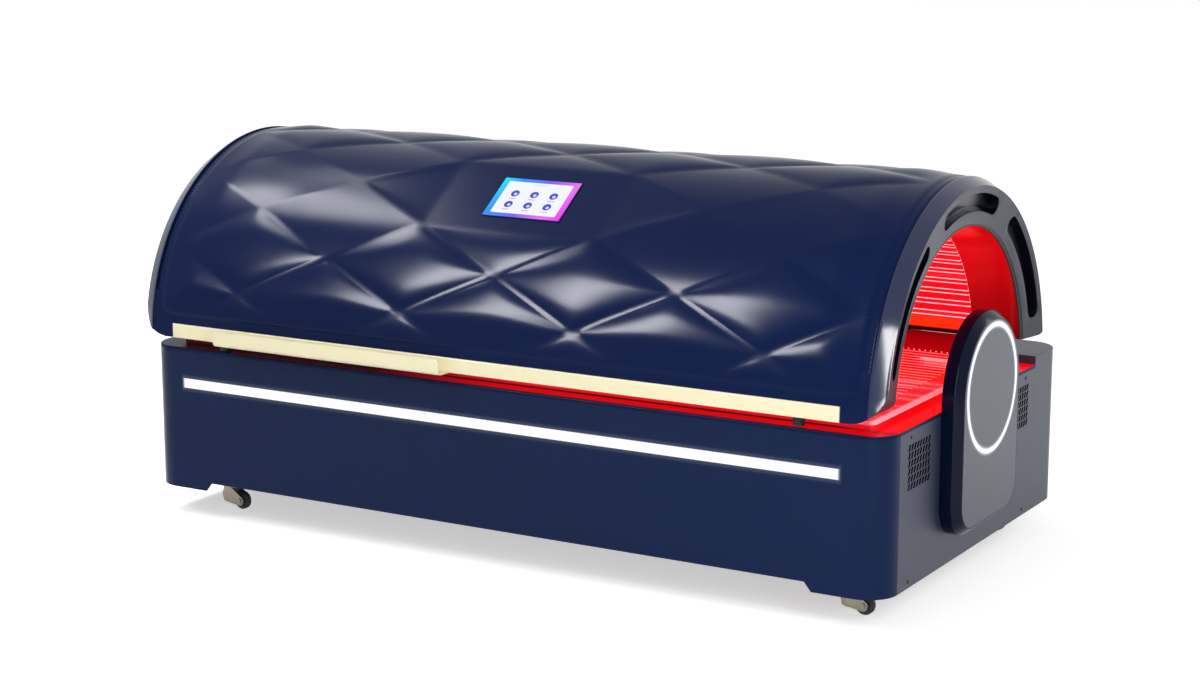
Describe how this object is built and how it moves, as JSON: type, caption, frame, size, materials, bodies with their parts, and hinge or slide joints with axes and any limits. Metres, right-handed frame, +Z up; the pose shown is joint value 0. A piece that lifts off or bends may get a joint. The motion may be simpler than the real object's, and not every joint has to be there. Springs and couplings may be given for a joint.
{
  "type": "led light therapy bed",
  "caption": "Light therapy bed: a lit clear bed in a cabinet on casters, under a quilted arched canopy that hinges up at the rear on gas struts.",
  "frame": {"origin": "on the floor under the middle of the bounding box", "axes": "+X along the bed to the end with the visible column, +Y to the rear hinge side, +Z up"},
  "size_m": [2.2, 1.164, 0.9894],
  "materials": {
    "navy_gloss": "gloss navy moulding",
    "navy_paint": "gloss navy coat",
    "satin_panel": "satin grey navy coat",
    "satin_cap": "satin grey navy moulding",
    "cream_trim": "satin cream coat",
    "white_light": "lit white diffuser",
    "red_light": "lit red strip",
    "red_reflector": "red lit reflector",
    "red_liner": "clear cover in red light",
    "red_tray": "red lit tray",
    "red_bolster": "dark gloss in red light",
    "clear_sheet": "clear acrylic in red light",
    "bezel_black": "gloss black",
    "screen_glass": "lit display",
    "frame_steel": "black powder coat",
    "bare_aluminium": "plain sheet",
    "pin_steel": "ground",
    "strut_black": "satin black",
    "black_plastic": "fine texture",
    "stop_rubber": "matt",
    "caster_nickel": "satin nickel",
    "wheel_dark": "matt"
  },
  "bodies": {
    "base": {"base_frame": "frame_steel", "front_panel": "navy_paint", "front_light_strip": "white_light", "strip_channel": "bare_aluminium", "deck_rim": "navy_paint", "rear_housing": "navy_paint", "back_panel": "navy_paint", "power_inlet": "black_plastic", "switch_frame": "black_plastic", "fan_frames": "black_plastic", "bed_tray": "red_tray", "bed_led_strips": "red_light", "bed_sheet": "clear_sheet", "rear_bolster": "red_bolster", "electronics_shelf": "frame_steel", "led_drivers": "bare_aluminium", "rubber_stops": "stop_rubber", "caster_plates": "caster_nickel", "hinge_brackets": "frame_steel", "hinge_pins": "pin_steel", "strut_anchors": "frame_steel", "end_panel_left": "satin_panel", "end_column_left": "navy_gloss", "column_face_left": "satin_panel", "ring_light_left": "white_light", "end_panel_right": "satin_panel", "end_column_right": "navy_gloss", "column_face_right": "satin_panel", "ring_light_right": "white_light"},
    "canopy": {"canopy_skin": "navy_gloss", "canopy_end_left": "satin_cap", "canopy_end_right": "satin_cap", "screen_bezel": "bezel_black", "touch_screen": "screen_glass", "canopy_front_beam": "navy_paint", "canopy_rear_beam": "navy_paint", "canopy_ribs": "bare_aluminium", "canopy_reflector": "red_reflector", "canopy_liner": "red_liner", "canopy_led_strips": "red_light", "trim_rail": "cream_trim", "lift_handle": "cream_trim", "hinge_arms": "frame_steel"},
    "strut_cylinder_left": {"strut_cylinder_left": "strut_black"},
    "strut_rod_left": {"strut_rod_left": "pin_steel"},
    "strut_cylinder_right": {"strut_cylinder_right": "strut_black"},
    "strut_rod_right": {"strut_rod_right": "pin_steel"},
    "caster_fork_front_left": {"caster_fork_front_left": "caster_nickel"},
    "caster_wheel_front_left": {"caster_wheel_front_left": "wheel_dark"},
    "fan_rotor_front_left": {"fan_rotor_front_left": "black_plastic"},
    "caster_fork_front_right": {"caster_fork_front_right": "caster_nickel"},
    "caster_wheel_front_right": {"caster_wheel_front_right": "wheel_dark"},
    "fan_rotor_front_right": {"fan_rotor_front_right": "black_plastic"},
    "caster_fork_rear_left": {"caster_fork_rear_left": "caster_nickel"},
    "caster_wheel_rear_left": {"caster_wheel_rear_left": "wheel_dark"},
    "fan_rotor_rear_left": {"fan_rotor_rear_left": "black_plastic"},
    "caster_fork_rear_right": {"caster_fork_rear_right": "caster_nickel"},
    "caster_wheel_rear_right": {"caster_wheel_rear_right": "wheel_dark"},
    "fan_rotor_rear_right": {"fan_rotor_rear_right": "black_plastic"},
    "power_rocker": {"power_rocker": "black_plastic"}
  },
  "joints": [
    {"name": "canopy_hinge", "type": "hinge", "parent": "base", "child": "canopy", "pos_m": [0, 0.48, 0.44], "axis": [-1, 0, 0], "range_deg": [0, 48]},
    {"name": "strut_pivot_left", "type": "hinge", "parent": "base", "child": "strut_cylinder_left", "pos_m": [-0.714, 0.455, 0.142], "axis": [1, 0, 0], "range_deg": [0, 1.2]},
    {"name": "strut_slide_left", "type": "slide", "parent": "strut_cylinder_left", "child": "strut_rod_left", "axis": [0, -0.075, 0.9972], "range_m": [0, 0.05]},
    {"name": "strut_pivot_right", "type": "hinge", "parent": "base", "child": "strut_cylinder_right", "pos_m": [0.714, 0.455, 0.142], "axis": [1, 0, 0], "range_deg": [0, 1.2]},
    {"name": "strut_slide_right", "type": "slide", "parent": "strut_cylinder_right", "child": "strut_rod_right", "axis": [0, -0.075, 0.9972], "range_m": [0, 0.05]},
    {"name": "caster_swivel_front_left", "type": "hinge", "parent": "base", "child": "caster_fork_front_left", "pos_m": [-0.905, -0.38, 0.07], "axis": [0, 0, 1], "continuous": true},
    {"name": "caster_roll_front_left", "type": "hinge", "parent": "caster_fork_front_left", "child": "caster_wheel_front_left", "pos_m": [-0.866, -0.38, 0.024], "axis": [0, 1, 0], "continuous": true},
    {"name": "fan_spin_front_left", "type": "hinge", "parent": "base", "child": "fan_rotor_front_left", "pos_m": [-1.0365, -0.338, 0.364], "axis": [1, 0, 0], "continuous": true},
    {"name": "caster_swivel_front_right", "type": "hinge", "parent": "base", "child": "caster_fork_front_right", "pos_m": [0.905, -0.38, 0.07], "axis": [0, 0, 1], "continuous": true},
    {"name": "caster_roll_front_right", "type": "hinge", "parent": "caster_fork_front_right", "child": "caster_wheel_front_right", "pos_m": [0.944, -0.38, 0.024], "axis": [0, 1, 0], "continuous": true},
    {"name": "fan_spin_front_right", "type": "hinge", "parent": "base", "child": "fan_rotor_front_right", "pos_m": [1.0365, -0.338, 0.364], "axis": [1, 0, 0], "continuous": true},
    {"name": "caster_swivel_rear_left", "type": "hinge", "parent": "base", "child": "caster_fork_rear_left", "pos_m": [-0.905, 0.44, 0.07], "axis": [0, 0, 1], "continuous": true},
    {"name": "caster_roll_rear_left", "type": "hinge", "parent": "caster_fork_rear_left", "child": "caster_wheel_rear_left", "pos_m": [-0.866, 0.44, 0.024], "axis": [0, 1, 0], "continuous": true},
    {"name": "fan_spin_rear_left", "type": "hinge", "parent": "base", "child": "fan_rotor_rear_left", "pos_m": [-1.0365, 0.287, 0.364], "axis": [1, 0, 0], "continuous": true},
    {"name": "caster_swivel_rear_right", "type": "hinge", "parent": "base", "child": "caster_fork_rear_right", "pos_m": [0.905, 0.44, 0.07], "axis": [0, 0, 1], "continuous": true},
    {"name": "caster_roll_rear_right", "type": "hinge", "parent": "caster_fork_rear_right", "child": "caster_wheel_rear_right", "pos_m": [0.944, 0.44, 0.024], "axis": [0, 1, 0], "continuous": true},
    {"name": "fan_spin_rear_right", "type": "hinge", "parent": "base", "child": "fan_rotor_rear_right", "pos_m": [1.0365, 0.287, 0.364], "axis": [1, 0, 0], "continuous": true},
    {"name": "rocker_tilt", "type": "hinge", "parent": "base", "child": "power_rocker", "pos_m": [0.79, 0.569, 0.2], "axis": [1, 0, 0], "range_deg": [0, 18]}
  ],
  "couplings": [
    {"joint": "strut_pivot_left", "follows": "canopy_hinge", "ratio": 0.02},
    {"joint": "strut_slide_left", "follows": "canopy_hinge", "m_per_rad": 0.0531},
    {"joint": "strut_pivot_right", "follows": "canopy_hinge", "ratio": 0.02},
    {"joint": "strut_slide_right", "follows": "canopy_hinge", "m_per_rad": 0.0531}
  ]
}
